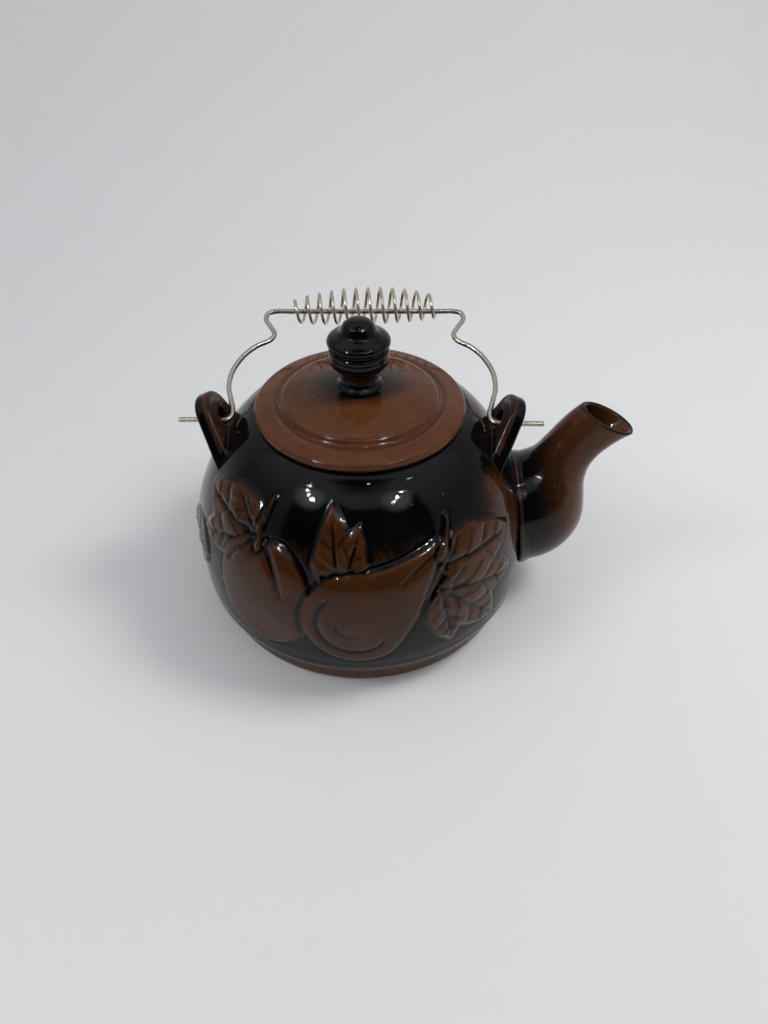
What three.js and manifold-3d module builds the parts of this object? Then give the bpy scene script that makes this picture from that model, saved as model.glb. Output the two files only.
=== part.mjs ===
// Glazed stoneware teapot with a lift-off lid, a wire carrying bail with a coil spring grip,
// and a lift-out strainer basket for loose tea.
// Millimetres. +Z up, spout towards +X, origin on the pot axis at table level.
import * as THREE from 'three';
import * as BufferGeometryUtils from 'three/addons/utils/BufferGeometryUtils.js';
import Module from 'manifold-3d';

const wasm = await Module();
wasm.setup();

// ---------------------------------------------------------------- driving dimensions
const GAP = 0.3;                 // clearance left between separate pieces
const TURN_SEGMENTS = 40;        // facets round the big turned pieces

const bodyHeight = 99.7;         // table to mouth rim
const bodyMouthRadius = 39;      // bore that takes the lid ring and the basket flange
const bodyThroatRadius = 35;     // bore under the basket ledge
const ledgeHeight = 90;          // top of the basket ledge
const footOuterRadius = 70.8;
const footInnerRadius = 64;
const footRecess = 1.2;          // base panel stands this far off the table

const lidRadius = 46;
const lidSeatHeight = bodyHeight + GAP;
const lidRingRadius = 37.6;      // locating ring that drops into the mouth
const lidRingInner = 34;
const lidRingDepth = 7.6;
const knobSeatRadius = 10.6;
const knobSeatHeight = 113;

const hingeHeight = 92.6;        // axis of the bail ends in the lug holes
const lugThickness = 7.6;
const lugRadius = 11;
const lugLean = THREE.MathUtils.degToRad(25);
const lugCentre = new THREE.Vector3(64.6, 0, 94.9);
const lugHoleDiameter = 7.6;

const bailWireDiameter = 2.4;
const bailReach = 63.4;          // hinge axis to grip bar
const bailLean = THREE.MathUtils.degToRad(69);   // how far it lies back from upright
const coilWireDiameter = 1.5;
const coilTurns = 11.7;
const coilStart = -0.16;         // turns from the top of the bar to the cut end
const coilLength = 68.4;
const coilEndRadius = 4.7;
const coilMidRadius = 8.2;
const coilBow = 2.1;             // the spring arches away from the bar
const coilOffset = 2.6;          // and stands off it at its right end
const bailSkew = 2e-4;           // hand-bent: the right arm is a little longer

const basketRadius = 33;
const basketSheet = 0.6;
const basketBottom = 30;
const flangeThickness = 0.9;
const flangeRadius = 38.2;
const holeDiameter = 4.6;
const holeRows = 5;
const holesPerRow = 10;

// ---------------------------------------------------------------- materials
const glazeBlack = { color: 0x17120f, roughness: 0.16, metalness: 0 };
const glazeBrown = { color: 0x6b2f12, roughness: 0.2, metalness: 0 };
const steelWire = { color: 0xb9b2a4, roughness: 0.28, metalness: 1 };
const steelSheet = { color: 0xc4c6c8, roughness: 0.32, metalness: 1 };

const pot = new THREE.Group();
pot.name = 'teapot_infuser';

function add(name, geometry, look) {
  const mesh = new THREE.Mesh(geometry, new THREE.MeshStandardMaterial(look));
  mesh.name = name;
  pot.add(mesh);
}

// ---------------------------------------------------------------- solid helpers
function weld(geometry) {
  const bare = geometry.clone();
  bare.deleteAttribute('normal');
  bare.deleteAttribute('uv');
  return BufferGeometryUtils.mergeVertices(bare, 1e-4);
}

function toSolid(geometry) {
  const welded = weld(geometry);
  const index = welded.index.array;
  const kept = [];
  for (let i = 0; i < index.length; i += 3) {
    const [a, b, c] = [index[i], index[i + 1], index[i + 2]];
    if (a !== b && b !== c && a !== c) kept.push(a, b, c);
  }
  const position = welded.attributes.position;
  const corner = (i) => new THREE.Vector3().fromBufferAttribute(position, i);
  let volume = 0;
  for (let i = 0; i < kept.length; i += 3) {
    volume += corner(kept[i]).dot(corner(kept[i + 1]).cross(corner(kept[i + 2])));
  }
  if (volume < 0) kept.reverse();
  return new wasm.Manifold(new wasm.Mesh({
    numProp: 3,
    vertProperties: new Float32Array(position.array),
    triVerts: new Uint32Array(kept),
  }));
}

function toGeometry(solid) {
  const mesh = solid.getMesh();
  const geometry = new THREE.BufferGeometry();
  geometry.setAttribute('position', new THREE.BufferAttribute(mesh.vertProperties, 3));
  geometry.setIndex(new THREE.BufferAttribute(mesh.triVerts, 1));
  geometry.computeVertexNormals();
  return geometry;
}

// closed profile of [radius, height] pairs turned about Z
function turned(profile, segments = TURN_SEGMENTS) {
  const points = profile.map(([r, z]) => new THREE.Vector2(r, z));
  return new THREE.LatheGeometry(points, segments).rotateX(Math.PI / 2);
}

function smooth(points, count) {
  const curve = new THREE.SplineCurve(points.map(([a, b]) => new THREE.Vector2(a, b)));
  return curve.getPoints(count).map((p) => [p.x, p.y]);
}

function rod(radius, length, segments = 24) {
  return new THREE.CylinderGeometry(radius, radius, length, segments);
}

// tube whose ovals run across the XZ plane: upper and lower edge points plus a half width in Y
function oval(sections, radial) {
  const tube = new THREE.CylinderGeometry(1, 1, 1, radial, sections.length - 1);
  const p = tube.attributes.position;
  for (let i = 0; i < p.count; i += 1) {
    const row = Math.round((0.5 - p.getY(i)) * (sections.length - 1));
    const [ux, uz, lx, lz, half] = sections[row];
    const across = p.getX(i);
    const up = p.getZ(i);
    p.setXYZ(i, (ux + lx) / 2 + (up * (ux - lx)) / 2, across * half,
      (uz + lz) / 2 + (up * (uz - lz)) / 2);
  }
  return tube;
}

function sweep(curve, diameter, sides, steps) {
  const ring = new THREE.Shape(
    Array.from({ length: sides }, (_, i) => {
      const a = (i / sides) * 2 * Math.PI;
      return new THREE.Vector2(Math.cos(a), Math.sin(a)).multiplyScalar(diameter / 2);
    }),
  );
  return new THREE.ExtrudeGeometry(ring, { steps, extrudePath: curve, bevelEnabled: false });
}

// ---------------------------------------------------------------- pot body
const bodyOutside = [
  [footOuterRadius, 0], [72, 1], [72.5, 2.8], [72.7, 6.4], [73, 9.4],
  ...smooth([[74.4, 11], [78.2, 16], [79.8, 21.5], [80, 29], [79.6, 39], [78, 50],
    [75.2, 60], [71.4, 69], [66.6, 78], [60.2, 87.4], [54.4, 93.8], [49, 98.2]], 15),
  [45.4, bodyHeight],
];
const bodyInside = [
  [bodyMouthRadius, bodyHeight], [bodyMouthRadius, ledgeHeight],
  [bodyThroatRadius, ledgeHeight], [bodyThroatRadius, 87.2],
  [40, 87.2], [46, 90.6], [51.4, 88], [58.4, 80.6], [64.8, 71.4], [69.8, 61], [73, 50.4],
  [74.7, 39], [75.1, 29], [74.2, 21], [70.6, 13.6], [65, 9], [50, 7], [0, 6.6],
];
const bodyProfile = [
  [0, footRecess], [footInnerRadius - 2, footRecess], [footInnerRadius, 0],
  ...bodyOutside, ...bodyInside,
];

// the same outside, one clearance larger, used to seat the luted-on pieces
const bodySeat = toSolid(turned([
  [0, -10], [footOuterRadius, -10],
  ...bodyOutside.map(([r, z]) => [r + GAP, z]),
  [45.4 + GAP, 120], [0, 120],
]));

// strainer holes where the spout leaves the body
const strainerHoles = [[0, 0]];
for (let i = 0; i < 6; i += 1) {
  const a = (i / 6) * 2 * Math.PI;
  strainerHoles.push([11 * Math.cos(a), 11 * Math.sin(a)]);
}
let body = toSolid(turned(bodyProfile));
for (const [y, z] of strainerHoles) {
  body = body.subtract(toSolid(rod(2.8, 40, 10).rotateZ(Math.PI / 2).translate(78, y, 46 + z)));
}
add('pot_body', toGeometry(body), glazeBlack);

// ---------------------------------------------------------------- spout
// each row: upper edge x, z, lower edge x, z, half width
const spoutOutside = [
  [57, 62, 60, 18, 25], [63, 66, 78, 17.6, 25.2], [67, 68.6, 90, 20.6, 25],
  [70, 70.4, 99, 27.5, 24], [72.8, 71.8, 104.5, 37, 22], [75.2, 73, 106, 46, 19.8],
  [77.4, 74.6, 105, 55.5, 17.2], [79.4, 77, 103.9, 63, 14.8], [81.6, 80.6, 104.3, 69.8, 13],
  [84.4, 85.2, 106, 75.4, 11.8], [87.6, 90.6, 109.3, 80.4, 10.9], [91.2, 96, 114, 85, 10.2],
  [94.4, 99.8, 118.4, 88.4, 9.8], [97, 102.2, 121.6, 90.6, 9.7],
];
const spoutBore = spoutOutside.map(([ux, uz, lx, lz, half], i) => {
  const wall = THREE.MathUtils.lerp(4.6, 2.3, i / (spoutOutside.length - 1));
  const inset = wall / Math.hypot(ux - lx, uz - lz);
  return [ux + (lx - ux) * inset, uz + (lz - uz) * inset,
    lx + (ux - lx) * inset, lz + (uz - lz) * inset, half - wall];
});
const [tipUx, tipUz, tipLx, tipLz, tipHalf] = spoutBore[spoutBore.length - 1];
spoutBore.push([tipUx + 3, tipUz + 6, tipLx + 3, tipLz + 6, tipHalf]);
const spout = toSolid(oval(spoutOutside, 24))
  .subtract(toSolid(oval(spoutBore, 16)))
  .subtract(bodySeat);
add('spout', toGeometry(spout), glazeBlack);

// ---------------------------------------------------------------- bail lugs
// rounded ear, pierced for the wire, with sides that spread to a wide foot on the shoulder
const lugFront = new THREE.Vector2(24, -19);
const lugBack = new THREE.Vector2(15, -19);
const tangent = (foot) => foot.angle() + Math.acos(lugRadius / foot.length()) - 2 * Math.PI;
const lugOutline = new THREE.Shape();
lugOutline.moveTo(-lugFront.x, lugFront.y);
lugOutline.lineTo(lugBack.x, lugBack.y);
lugOutline.absarc(0, 0, lugRadius, tangent(lugBack), Math.PI - tangent(lugFront), false);
lugOutline.closePath();

function lug(side) {
  const edge = 1.1;
  const plate = new THREE.ExtrudeGeometry(lugOutline, {
    depth: lugThickness - 2 * edge, curveSegments: 14,
    bevelThickness: edge, bevelSize: edge, bevelOffset: -edge, bevelSegments: 1,
  });
  plate.translate(0, 0, edge - lugThickness / 2);
  const up = new THREE.Vector3(Math.sin(lugLean), 0, Math.cos(lugLean));
  const across = new THREE.Vector3(0, 1, 0);
  plate.applyMatrix4(new THREE.Matrix4().makeBasis(across, up, across.clone().cross(up)));
  plate.translate(lugCentre.x, lugCentre.y, lugCentre.z).scale(side, 1, 1);
  const hole = rod(lugHoleDiameter / 2, 200).rotateZ(Math.PI / 2).translate(0, 0, lugCentre.z);
  return toGeometry(toSolid(plate).subtract(toSolid(hole)).subtract(bodySeat));
}
add('lug_right', lug(1), glazeBlack);
add('lug_left', lug(-1), glazeBlack);

// ---------------------------------------------------------------- lid
const ringBottom = lidSeatHeight - lidRingDepth;
add('lid', toGeometry(toSolid(turned([
  [0, 109], [14, 108.2], [29, 104.6], [lidRingInner, 102.4], [lidRingInner, ringBottom],
  [lidRingRadius - 0.8, ringBottom], [lidRingRadius, ringBottom + 0.8],
  [lidRingRadius, lidSeatHeight], [lidRadius - 0.8, lidSeatHeight],
  [lidRadius, lidSeatHeight + 0.9], [lidRadius, lidSeatHeight + 2.8],
  [lidRadius - 0.6, lidSeatHeight + 3.8], [lidRadius - 1.8, lidSeatHeight + 4.2],
  [38, 105.1], [35.9, 104.9], [34.3, 106.7], [32.9, 108.1], [26, 109.6], [18, 111.5],
  [13.2, 112.6], [knobSeatRadius, knobSeatHeight], [0, knobSeatHeight],
]))), glazeBrown);

add('lid_knob', toGeometry(toSolid(turned([
  [0, knobSeatHeight], [10.4, knobSeatHeight], [8.8, 114.2], [7.8, 115.8], [7.6, 117.4],
  [8.4, 118.9], [10.2, 121.2], [12.1, 123.1], [12.7, 124.1], [12.7, 126.6], [12.3, 127],
  [12.7, 127.4], [12.7, 130.2], [11.9, 130.8], [11.6, 131.2], [12.2, 131.7], [13.1, 132.1],
  [13.3, 132.9], [12.6, 133.9], [10.6, 135.3], [8.7, 136.4], [7.6, 137.6], [7.2, 139],
  [6.2, 140.9], [4.2, 142.3], [2, 142.9], [0, 143],
], 26))), glazeBlack);

// ---------------------------------------------------------------- wire bail and coil grip
// a point of the bail plane: sideways, then outwards from the hinge axis
function onBail(sideways, outwards, lift = 0) {
  const reach = outwards * (1 + bailSkew * sideways);
  return new THREE.Vector3(
    sideways,
    reach * Math.sin(bailLean) - lift * Math.cos(bailLean),
    hingeHeight + reach * Math.cos(bailLean) + lift * Math.sin(bailLean),
  );
}

const bailSide = [
  [81.5, 0], [75, 0], [68, 0], [62, 0], [59.4, 0.5], [57.7, 2.6], [57.7, 6], [58.9, 10.5],
  [60.8, 19], [60, 27.4], [55.9, 36.1], [50.4, 42], [44.2, 45.8], [42.4, 49], [44.4, 53.4],
  [47.2, 58.6], [46.2, 62.2], [42.5, bailReach], [36, bailReach], [24, bailReach],
  [12, bailReach],
];
const bailPath = [
  ...bailSide, [0, bailReach], ...bailSide.map(([u, v]) => [-u, v]).reverse(),
].map(([u, v]) => onBail(u, v));
const bailCurve = new THREE.CatmullRomCurve3(bailPath, false, 'centripetal');
add('bail_wire', toGeometry(toSolid(sweep(bailCurve, bailWireDiameter, 6, 90))), steelWire);

class BarrelSpring extends THREE.Curve {
  getPoint(t, target = new THREE.Vector3()) {
    const swell = 4 * t * (1 - t);
    const radius = THREE.MathUtils.lerp(coilEndRadius, coilMidRadius, swell ** 0.8);
    const angle = 2 * Math.PI * (coilTurns * t + coilStart);
    const forward = radius * Math.sin(angle);
    const high = radius * Math.cos(angle);
    const bow = coilBow * swell + coilOffset * t;
    return target.copy(onBail(
      (t - 0.5) * coilLength,
      bailReach + bow + high * Math.cos(bailLean) - forward * Math.sin(bailLean),
      high * Math.sin(bailLean) + forward * Math.cos(bailLean),
    ));
  }
}
const spring = sweep(new BarrelSpring(), coilWireDiameter, 5, 117);
add('grip_coil', toGeometry(toSolid(spring)), steelWire);

// ---------------------------------------------------------------- strainer basket
const flangeBottom = ledgeHeight + GAP;
const flangeTop = flangeBottom + flangeThickness;
const basketInner = basketRadius - basketSheet;

function sleeve(inner, outer, low, high) {
  return toSolid(turned([[inner, low], [outer, low], [outer, high], [inner, high], [inner, low]]));
}

add('infuser_flange', toGeometry(sleeve(basketInner, flangeRadius, flangeBottom, flangeTop)),
  steelSheet);

const wallHeight = flangeBottom - basketBottom;
let wall = sleeve(basketInner, basketRadius, basketBottom, flangeBottom);
for (let row = 0; row < holeRows; row += 1) {
  const z = basketBottom + (wallHeight * (row + 0.8)) / (holeRows + 0.6);
  for (let i = 0; i < holesPerRow; i += 1) {
    const drill = rod(holeDiameter / 2, 8, 6).rotateZ(Math.PI / 2).translate(basketRadius, 0, z);
    drill.rotateZ(((i + (row % 2) / 2) / holesPerRow) * 2 * Math.PI);
    wall = wall.subtract(toSolid(drill));
  }
}
add('infuser_wall', toGeometry(wall), steelSheet);

let floor = toSolid(rod(basketRadius, basketSheet, TURN_SEGMENTS).rotateX(Math.PI / 2)
  .translate(0, 0, basketBottom - basketSheet / 2));
for (const [count, radius] of [[1, 0], [6, 11], [12, 22]]) {
  for (let i = 0; i < count; i += 1) {
    const drill = rod(holeDiameter / 2, 6, 6).rotateX(Math.PI / 2);
    drill.translate(radius, 0, basketBottom).rotateZ((i / count) * 2 * Math.PI);
    floor = floor.subtract(toSolid(drill));
  }
}
add('infuser_floor', toGeometry(floor), steelSheet);

// finger tabs stand on the flange
const tabOutline = new THREE.Shape();
tabOutline.moveTo(-5.5, 0);
tabOutline.lineTo(5.5, 0);
tabOutline.lineTo(5.5, 2.6);
tabOutline.absarc(2.5, 2.6, 3, 0, Math.PI / 2, false);
tabOutline.lineTo(-2.5, 5.6);
tabOutline.absarc(-2.5, 2.6, 3, Math.PI / 2, Math.PI, false);
tabOutline.closePath();
for (const [name, turn] of [['infuser_tab_right', 0], ['infuser_tab_left', Math.PI]]) {
  const tab = new THREE.ExtrudeGeometry(tabOutline, {
    depth: 0.8, bevelEnabled: false, curveSegments: 5,
  });
  tab.rotateX(Math.PI / 2).rotateZ(Math.PI / 2).translate(basketInner, 0, flangeTop);
  add(name, toGeometry(toSolid(tab.rotateZ(turn))), steelSheet);
}

export default pot;
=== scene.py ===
"""Looks of the glazed teapot with its wire bail, coil spring grip and lift-out strainer basket.

Everything is in metres in the row frame: +Z up, spout towards +X, the bail lies back on +Y.
Profiles are written in millimetres, as [radius, height] or [sideways, outwards], and scaled by MM.
"""

import math

import bmesh
import bpy
import numpy as np
from mathutils import Matrix, Vector


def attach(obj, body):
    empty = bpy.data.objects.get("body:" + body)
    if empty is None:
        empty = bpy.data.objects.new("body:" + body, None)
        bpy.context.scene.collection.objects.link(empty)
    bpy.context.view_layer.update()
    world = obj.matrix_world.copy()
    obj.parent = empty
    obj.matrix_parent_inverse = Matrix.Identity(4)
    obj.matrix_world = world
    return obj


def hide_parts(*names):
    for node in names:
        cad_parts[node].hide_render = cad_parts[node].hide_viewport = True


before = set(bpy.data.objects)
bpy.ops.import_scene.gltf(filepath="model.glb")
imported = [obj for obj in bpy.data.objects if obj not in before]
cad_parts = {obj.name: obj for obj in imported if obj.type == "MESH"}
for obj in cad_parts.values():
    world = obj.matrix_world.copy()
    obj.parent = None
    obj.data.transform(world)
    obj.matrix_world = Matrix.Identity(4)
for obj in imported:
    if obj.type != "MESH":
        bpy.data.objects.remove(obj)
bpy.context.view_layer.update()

MM = 0.001
FULL_TURN = 2 * math.pi

# ---- driving sizes, in mm
BODY_WIDEST = 79.9               # nothing on the body stands further out than this
RELIEF_ARC = 76.0                # radius on which the relief is laid out
WIRE_DIAMETER = 2.4
SPRING_DIAMETER = 1.5
SPRING_TURNS = 11.7
SPRING_START = -0.16
SPRING_LENGTH = 68.4
SPRING_END_RADIUS = 4.7
SPRING_MID_RADIUS = 8.2
SPRING_BOW = 2.1
SPRING_OFFSET = 2.6
HINGE_HEIGHT = 92.6
BAIL_REACH = 63.4
BAIL_LEAN = math.radians(69)
BAIL_SKEW = 2e-4
LUG_CENTRE = np.array([64.6, 0.0, 94.9])
LUG_LEAN = math.radians(25)
LUG_RADIUS = 11.0
LUG_THICKNESS = 7.6
LUG_HOLE = 7.6
LUG_VOXEL = 0.42
LUG_FOOT = ((-24.0, -19.0), (15.0, -19.0))
STRAINER_HEIGHT, STRAINER_RING, STRAINER_HOLE = 46, 11, 5.6
END_DOME = 0.35                  # height of the dome on a wire's end, over its radius
BASKET_RADIUS = 33.0
BASKET_SHEET = 0.6
BASKET_BOTTOM = 30.0
FLANGE_LOW, FLANGE_HIGH, FLANGE_RADIUS = 90.3, 91.2, 38.2


# ---- number helpers
def ramp(x, low, high):
    """0 below low, 1 above high, and smooth between."""
    t = np.clip((x - low) / (high - low), 0.0, 1.0)
    return t * t * (3 - 2 * t)


def bell(x, centre, width):
    """1 at centre, falling off smoothly on both sides."""
    return np.exp(-(((x - centre) / width) ** 2))


def catmull(points, count, centripetal=False):
    """count + 1 points on a Catmull-Rom curve through the given ones."""
    p = np.asarray(points, float)
    p = np.vstack([2 * p[0] - p[1], p, 2 * p[-1] - p[-2]])
    out = []
    for t in np.linspace(0, len(p) - 3, count + 1):
        i = min(int(t), len(p) - 4)
        f = t - i
        a, b, c, d = p[i:i + 4]
        k0, k1, k2 = (max(np.linalg.norm(v) ** 0.5, 1e-6) if centripetal else 1.0
                      for v in (b - a, c - b, d - c))
        m1 = (c - b) + k1 * ((b - a) / k0 - (c - a) / (k0 + k1))
        m2 = (c - b) + k1 * ((d - c) / k2 - (d - b) / (k1 + k2))
        out.append((2 * f ** 3 - 3 * f ** 2 + 1) * b + (f ** 3 - 2 * f ** 2 + f) * m1
                   + (3 * f ** 2 - 2 * f ** 3) * c + (f ** 3 - f ** 2) * m2)
    return np.array(out)


def rounded(points, radius, steps=4):
    """A polyline with every inner corner replaced by a short curve that starts radius before it."""
    p = np.asarray(points, float)
    out = [p[0]]
    for before, corner, after in zip(p, p[1:], p[2:]):
        back, on = before - corner, after - corner
        reach_back = min(radius, 0.45 * np.linalg.norm(back)) / np.linalg.norm(back)
        reach_on = min(radius, 0.45 * np.linalg.norm(on)) / np.linalg.norm(on)
        start, end = corner + back * reach_back, corner + on * reach_on
        for t in np.linspace(0, 1, steps):
            out.append((1 - t) ** 2 * start + 2 * t * (1 - t) * corner + t ** 2 * end)
    out.append(p[-1])
    return np.array(out)


FINE_COUNT = 6000                # points that a line is measured off with


def respaced(profile, step):
    """The same line with points about step apart. step may be a function of a point."""
    p = np.asarray(profile, float)
    length = np.concatenate([[0], np.cumsum(np.linalg.norm(np.diff(p, axis=0), axis=1))])
    fine = np.linspace(0, length[-1], FINE_COUNT)
    line = np.stack([np.interp(fine, length, p[:, k]) for k in range(p.shape[1])], axis=1)
    pace = np.array([step(q) for q in line]) if callable(step) else np.full(len(line), step)
    count = np.concatenate([[0], np.cumsum(np.diff(fine) / pace[1:])])
    rows = max(2, int(round(count[-1])))
    at = np.interp(np.linspace(0, count[-1], rows + 1), count, fine)
    return np.stack([np.interp(at, fine, line[:, k]) for k in range(p.shape[1])], axis=1)


# ---- mesh helpers
def link(mesh, material, smooth=True):
    """A new object in the scene with the mesh, named after it."""
    piece = bpy.data.objects.new(mesh.name, mesh)
    bpy.context.scene.collection.objects.link(piece)
    if material:
        mesh.materials.append(material)
    mesh.polygons.foreach_set("use_smooth", [smooth] * len(mesh.polygons))
    return piece


def set_values(mesh, values):
    """Writes named arrays, one number per point, as attributes that the materials read. One that
    a mesh lacks reads as 0."""
    for name, data in values.items():
        attribute = mesh.attributes.get(name) or mesh.attributes.new(name, "FLOAT", "POINT")
        attribute.data.foreach_set("value", np.asarray(data, np.float32).ravel())


def tidy(mesh, reach=1e-7, close=False):
    """Joins points within reach of one another, and turns every face outwards."""
    work = bmesh.new()
    work.from_mesh(mesh)
    bmesh.ops.remove_doubles(work, verts=work.verts, dist=reach)
    if close:
        bmesh.ops.holes_fill(work, edges=work.edges, sides=0)
    bmesh.ops.recalc_face_normals(work, faces=work.faces)
    work.to_mesh(mesh)
    work.free()


def made(work, name):
    """A new mesh from a bmesh, which is given up."""
    mesh = bpy.data.meshes.new(name)
    work.to_mesh(mesh)
    work.free()
    return mesh


def skin_rings(work, rings):
    """Quads from each ring of points to the next, and a flat face on the first and the last."""
    for low, high in zip(rings, rings[1:]):
        for i in range(len(low)):
            j = (i + 1) % len(low)
            work.faces.new((low[i], low[j], high[j], high[i]))
    work.faces.new(rings[0][::-1])
    work.faces.new(rings[-1])
    bmesh.ops.recalc_face_normals(work, faces=work.faces)


def grid_mesh(name, points, values=None, around=True, along=False):
    """Quads over a [row, column] grid of points in metres. around and along close it on itself."""
    rows, columns = points.shape[:2]
    index = np.arange(rows * columns).reshape(rows, columns)
    if around:
        index = np.hstack([index, index[:, :1]])
    if along:
        index = np.vstack([index, index[:1]])
    quads = np.stack([index[:-1, :-1], index[:-1, 1:], index[1:, 1:], index[1:, :-1]], axis=-1)
    mesh = bpy.data.meshes.new(name)
    mesh.from_pydata(points.reshape(-1, 3).tolist(), [], quads.reshape(-1, 4).tolist())
    set_values(mesh, values or {})
    tidy(mesh)
    return mesh


def turned_points(profile, columns):
    """Points of a turned shape, and the angle from the front (-Y, + towards +X), the height and
    the radius of each."""
    angle = np.arange(columns) / columns * FULL_TURN - math.pi
    radius, height = profile[:, 0][:, None], profile[:, 1][:, None]
    points = np.stack([radius * np.sin(angle), -radius * np.cos(angle),
                       height + 0 * angle], axis=-1)
    return (points, angle[None, :] + 0 * radius, height + 0 * angle,
            np.hypot(points[..., 0], points[..., 1]))


def tube_mesh(name, path, diameter, sides):
    """A round tube along a path in metres, with domed ends."""
    p = np.asarray(path, float)
    tangent = np.gradient(p, axis=0)
    tangent /= np.linalg.norm(tangent, axis=1)[:, None]
    side = np.cross(tangent[0], [0.0, 0.3, 1.0])
    frames = []
    for t in tangent:
        side = side - t * (side @ t)
        side /= np.linalg.norm(side)
        frames.append((side, np.cross(t, side)))
    turn = np.arange(sides) / sides * FULL_TURN
    radius = diameter / 2
    rows = [p[i] + radius * (np.cos(turn)[:, None] * a + np.sin(turn)[:, None] * b)
            for i, (a, b) in enumerate(frames)]
    for at, outwards, first in ((0, -tangent[0], True), (-1, tangent[-1], False)):
        a, b = frames[at]
        for share in (0.45, 0.8, 0.95, 1.0):
            ring = radius * math.sqrt(1 - share ** 2)
            middle = p[at] + outwards * radius * END_DOME * share
            row = middle + ring * (np.cos(turn)[:, None] * a + np.sin(turn)[:, None] * b)
            rows = [row] + rows if first else rows + [row]
    return grid_mesh(name, np.array(rows))


def apply_modifiers(piece):
    """Applies a piece's modifiers."""
    seen = piece.evaluated_get(bpy.context.evaluated_depsgraph_get())
    mesh = bpy.data.meshes.new_from_object(seen)
    piece.modifiers.clear()
    piece.data = mesh


# ---- material helpers
SPOT_CUT = 0.7                   # cells whose random red is under this get no dot


class Nodes:
    """A small builder for a node material."""

    def __init__(self, name, world=None):
        owner = world or bpy.data.materials.new(name)
        owner.use_nodes = True
        self.owner = owner
        self.tree = owner.node_tree
        self.tree.nodes.clear()

    def add(self, kind, inputs=None, **settings):
        node = self.tree.nodes.new(kind)
        for key, value in settings.items():
            setattr(node, key, value)
        for key, value in (inputs or {}).items():
            self.feed(node, key, value)
        return node

    def feed(self, node, key, value):
        if isinstance(value, bpy.types.NodeSocket):
            self.tree.links.new(value, node.inputs[key])
        else:
            node.inputs[key].default_value = value

    def value(self, name):
        return self.add("ShaderNodeAttribute", attribute_name=name).outputs["Fac"]

    def place(self, scale=(1, 1, 1)):
        coordinates = self.add("ShaderNodeTexCoord").outputs["Object"]
        if scale == (1, 1, 1):
            return coordinates
        return self.add("ShaderNodeMapping", {"Vector": coordinates, "Scale": scale}).outputs[0]

    def noise(self, scale, detail, where=None, roughness=0.5):
        return self.add("ShaderNodeTexNoise", {
            "Vector": where or self.place(), "Scale": scale, "Detail": detail,
            "Roughness": roughness}).outputs["Fac"]

    def math(self, operation, a, b=0.0):
        return self.add("ShaderNodeMath", {0: a, 1: b}, operation=operation).outputs[0]

    def plus(self, a, b):
        return self.math("ADD", a, b)

    def times(self, a, b):
        return self.math("MULTIPLY", a, b)

    def remap(self, x, low, high, out_low=0.0, out_high=1.0):
        return self.add("ShaderNodeMapRange", {
            "Value": x, "From Min": low, "From Max": high, "To Min": out_low, "To Max": out_high},
            interpolation_type="SMOOTHSTEP").outputs[0]

    def mix(self, share, a, b):
        """Colour a where share is 0, and b where it is 1."""
        node = self.add("ShaderNodeMix", data_type="RGBA")
        for key, value in ((0, share), (6, a), (7, b)):
            if not isinstance(value, bpy.types.NodeSocket) and key != 0:
                value = (*value, 1.0)
            self.feed(node, key, value)
        return node.outputs[2]

    def spots(self, scale, size, seed_shift):
        """Small round dots, one in each cell of a loose pattern, about two in three left out."""
        where = self.add("ShaderNodeMapping", {"Vector": self.place(), "Location": seed_shift})
        cells = self.add("ShaderNodeTexVoronoi", {"Vector": where.outputs[0], "Scale": scale})
        dot = self.remap(cells.outputs["Distance"], size, size * 0.4)
        split = self.add("ShaderNodeSeparateColor", {0: cells.outputs["Color"]})
        return self.times(dot, self.math("GREATER_THAN", split.outputs[0], SPOT_CUT))

    def bump(self, height, distance, strength=1.0, normal=None):
        node = self.add("ShaderNodeBump", {
            "Height": height, "Distance": distance, "Strength": strength})
        if normal:
            self.feed(node, "Normal", normal)
        return node.outputs[0]

    def finish(self, **sockets):
        shader = self.add("ShaderNodeBsdfPrincipled")
        for key, value in sockets.items():
            self.feed(shader, key.replace("_", " "), value)
        out = self.add("ShaderNodeOutputMaterial")
        self.tree.links.new(shader.outputs[0], out.inputs["Surface"])
        return self.owner


GLAZE_IOR = 1.34
GLAZE_BLACK = (0.0018, 0.0016, 0.0018)
GLAZE_NAVY = (0.0024, 0.0028, 0.0040)
BROWN_DEEP = (0.0110, 0.0050, 0.0026)
BROWN_MID = (0.067, 0.0232, 0.0072)
BROWN_LIGHT = (0.105, 0.046, 0.019)
CLAY_DARK, CLAY_PALE = (0.30, 0.17, 0.095), (0.42, 0.26, 0.15)
SPECK_BUFF = (0.24, 0.20, 0.16)
RUST = (0.10, 0.035, 0.012)
WAVE_RISE, PEEL_RISE, DOT_RISE, WIRE_RISE = 0.00035, 0.00005, 0.0002, 0.00002   # bumps, in metres


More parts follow.
